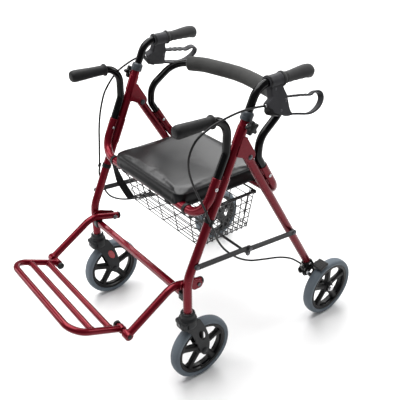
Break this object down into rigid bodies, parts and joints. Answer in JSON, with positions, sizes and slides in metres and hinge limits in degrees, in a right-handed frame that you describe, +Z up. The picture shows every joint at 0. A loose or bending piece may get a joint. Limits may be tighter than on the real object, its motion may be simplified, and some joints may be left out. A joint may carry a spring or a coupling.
{
  "type": "rollator walker",
  "caption": "Folding rollator walker with a flip-up seat, bowed backrest, armrests, wire basket, loop-lever brakes, caster front wheels and a folding footrest.",
  "frame": {"origin": "on the floor, under the middle of the walker's bounding box", "axes": "+X is the user's left, -Y is the front with the footrest, +Y is the rear with the push handles, +Z is up"},
  "size_m": [0.626, 0.972, 0.8741],
  "materials": {
    "red_paint": "gloss metallic lacquer",
    "black_tube": "gloss",
    "black_plastic": "moulded, fine grain",
    "grey_plastic": "moulded, satin",
    "rubber_grip": "matte",
    "foam": "matte closed-cell foam",
    "tyre": "satin",
    "vinyl": "fine grained vinyl",
    "wire": "plastic dipped",
    "webbing": "woven",
    "cable": "satin sleeve"
  },
  "bodies": {
    "frame": {"main_leg_left": "red_paint", "main_leg_right": "red_paint", "leg_collar_left": "black_plastic", "leg_collar_right": "black_plastic", "fold_gusset_left": "red_paint", "fold_gusset_right": "red_paint", "front_seat_tube": "red_paint", "lower_crossbar": "red_paint", "crossbar_clamp_left": "black_plastic", "crossbar_clamp_right": "black_plastic", "footrest_bracket_left": "red_paint", "footrest_bracket_right": "red_paint", "fold_strap": "webbing", "cable_lower_left": "cable", "cable_lower_right": "cable"},
    "rear_frame": {"rear_leg_left": "red_paint", "rear_leg_right": "red_paint", "rear_seat_tube": "red_paint", "brake_bracket_left": "black_plastic", "brake_bracket_right": "black_plastic"},
    "front_struts": {"front_struts": "black_tube"},
    "seat": {"seat_pan": "black_plastic", "seat_cushion": "vinyl"},
    "basket": {"basket": "wire"},
    "backrest": {"backrest_bar": "black_tube", "backrest_pad": "foam"},
    "footrest_arms": {"footrest_arm_left": "red_paint", "footrest_arm_right": "red_paint"},
    "footplate": {"footplate": "red_paint"},
    "rear_strut_left": {"rear_strut_left": "black_tube"},
    "handle_left": {"handle_tube_left": "black_tube", "push_grip_left": "rubber_grip", "brake_housing_left": "grey_plastic", "cable_upper_left": "cable"},
    "brake_lever_left": {"brake_lever_left": "grey_plastic"},
    "star_knob_left": {"star_knob_left": "black_plastic"},
    "armrest_left": {"armrest_tube_left": "black_tube", "armrest_grip_left": "rubber_grip"},
    "caster_left": {"caster_fork_left": "black_plastic"},
    "front_wheel_left": {"front_rim_left": "black_plastic", "front_tyre_left": "tyre"},
    "rear_wheel_left": {"rear_rim_left": "black_plastic", "rear_tyre_left": "tyre"},
    "brake_shoe_left": {"brake_shoe_left": "black_plastic"},
    "rear_strut_right": {"rear_strut_right": "black_tube"},
    "handle_right": {"handle_tube_right": "black_tube", "push_grip_right": "rubber_grip", "brake_housing_right": "grey_plastic", "cable_upper_right": "cable"},
    "brake_lever_right": {"brake_lever_right": "grey_plastic"},
    "star_knob_right": {"star_knob_right": "black_plastic"},
    "armrest_right": {"armrest_tube_right": "black_tube", "armrest_grip_right": "rubber_grip"},
    "caster_right": {"caster_fork_right": "black_plastic"},
    "front_wheel_right": {"front_rim_right": "black_plastic", "front_tyre_right": "tyre"},
    "rear_wheel_right": {"rear_rim_right": "black_plastic", "rear_tyre_right": "tyre"},
    "brake_shoe_right": {"brake_shoe_right": "black_plastic"}
  },
  "joints": [
    {"name": "rear_fold", "type": "hinge", "parent": "frame", "child": "rear_frame", "pos_m": [0, 0.033, 0.672], "axis": [-1, 0, 0], "range_deg": [0, 26], "deforming": ["cable_lower_left", "cable_lower_right"]},
    {"name": "front_strut_fold", "type": "hinge", "parent": "frame", "child": "front_struts", "pos_m": [0, -0.1413, 0.403], "axis": [-1, 0, 0], "range_deg": [0, 67.7], "deforming": ["fold_strap"]},
    {"name": "basket_swing", "type": "hinge", "parent": "frame", "child": "basket", "pos_m": [0, -0.11098, 0.533], "axis": [-1, 0, 0], "range_deg": [0, 30]},
    {"name": "seat_flip", "type": "hinge", "parent": "frame", "child": "seat", "pos_m": [0, -0.11098, 0.533], "axis": [1, 0, 0], "range_deg": [0, 95]},
    {"name": "footrest_fold", "type": "hinge", "parent": "frame", "child": "footrest_arms", "pos_m": [0, -0.112, 0.3157], "axis": [-1, 0, 0], "range_deg": [0, 50]},
    {"name": "footplate_fold", "type": "hinge", "parent": "footrest_arms", "child": "footplate", "pos_m": [0, -0.338, 0.246], "axis": [-1, 0, 0], "range_deg": [0, 60]},
    {"name": "backrest_height", "type": "slide", "parent": "rear_frame", "child": "backrest", "axis": [0, -0.5252, 0.851], "range_m": [0, 0.04]},
    {"name": "rear_strut_fold_left", "type": "hinge", "parent": "rear_frame", "child": "rear_strut_left", "pos_m": [0.272, 0.21876, 0.371], "axis": [1, 0, 0], "range_deg": [0, 63.1]},
    {"name": "handle_height_left", "type": "slide", "parent": "frame", "child": "handle_left", "axis": [0, 0.4104, 0.9119], "range_m": [-0.02, 0.07], "deforming": ["cable_upper_left"]},
    {"name": "brake_lever_pull_left", "type": "hinge", "parent": "handle_left", "child": "brake_lever_left", "pos_m": [0.26813, 0.134, 0.8032], "axis": [0.9397, 0, 0.342], "range_deg": [0, 13], "stiffness_Nm_per_rad": 1.5},
    {"name": "brake_shoe_swing_left", "type": "hinge", "parent": "rear_frame", "child": "brake_shoe_left", "pos_m": [0.267, 0.304, 0.18], "axis": [-1, 0, 0], "range_deg": [0, 4]},
    {"name": "star_knob_turn_left", "type": "hinge", "parent": "frame", "child": "star_knob_left", "pos_m": [0.28, 0.0198, 0.761], "axis": [1, 0, 0], "continuous": true},
    {"name": "armrest_height_left", "type": "slide", "parent": "frame", "child": "armrest_left", "axis": [0, 0.4104, 0.9119], "range_m": [0, 0.04]},
    {"name": "caster_swivel_left", "type": "hinge", "parent": "frame", "child": "caster_left", "pos_m": [0.25, -0.162, 0.25], "axis": [0, 0, 1], "continuous": true},
    {"name": "front_wheel_spin_left", "type": "hinge", "parent": "caster_left", "child": "front_wheel_left", "pos_m": [0.25, -0.119, 0.1], "axis": [1, 0, 0], "continuous": true},
    {"name": "rear_wheel_spin_left", "type": "hinge", "parent": "rear_frame", "child": "rear_wheel_left", "pos_m": [0.289, 0.386, 0.1], "axis": [1, 0, 0], "continuous": true},
    {"name": "rear_strut_fold_right", "type": "hinge", "parent": "rear_frame", "child": "rear_strut_right", "pos_m": [-0.272, 0.21876, 0.371], "axis": [1, 0, 0], "range_deg": [0, 63.1]},
    {"name": "handle_height_right", "type": "slide", "parent": "frame", "child": "handle_right", "axis": [0, 0.4104, 0.9119], "range_m": [-0.02, 0.07], "deforming": ["cable_upper_right"]},
    {"name": "brake_lever_pull_right", "type": "hinge", "parent": "handle_right", "child": "brake_lever_right", "pos_m": [-0.26813, 0.134, 0.8032], "axis": [0.9397, 0, -0.342], "range_deg": [0, 13], "stiffness_Nm_per_rad": 1.5},
    {"name": "brake_shoe_swing_right", "type": "hinge", "parent": "rear_frame", "child": "brake_shoe_right", "pos_m": [-0.267, 0.304, 0.18], "axis": [-1, 0, 0], "range_deg": [0, 4]},
    {"name": "star_knob_turn_right", "type": "hinge", "parent": "frame", "child": "star_knob_right", "pos_m": [-0.28, 0.0198, 0.761], "axis": [1, 0, 0], "continuous": true},
    {"name": "armrest_height_right", "type": "slide", "parent": "frame", "child": "armrest_right", "axis": [0, 0.4104, 0.9119], "range_m": [0, 0.04]},
    {"name": "caster_swivel_right", "type": "hinge", "parent": "frame", "child": "caster_right", "pos_m": [-0.25, -0.162, 0.25], "axis": [0, 0, 1], "continuous": true},
    {"name": "front_wheel_spin_right", "type": "hinge", "parent": "caster_right", "child": "front_wheel_right", "pos_m": [-0.25, -0.119, 0.1], "axis": [1, 0, 0], "continuous": true},
    {"name": "rear_wheel_spin_right", "type": "hinge", "parent": "rear_frame", "child": "rear_wheel_right", "pos_m": [-0.289, 0.386, 0.1], "axis": [1, 0, 0], "continuous": true}
  ],
  "couplings": [
    {"joint": "front_strut_fold", "follows": "rear_fold", "ratio": 2.5834},
    {"joint": "basket_swing", "follows": "rear_fold", "ratio": 1.1518},
    {"joint": "rear_strut_fold_left", "follows": "rear_fold", "ratio": 2.4084},
    {"joint": "brake_shoe_swing_left", "follows": "brake_lever_pull_left", "ratio": 0.27},
    {"joint": "rear_strut_fold_right", "follows": "rear_fold", "ratio": 2.4084},
    {"joint": "brake_shoe_swing_right", "follows": "brake_lever_pull_right", "ratio": 0.27}
  ]
}
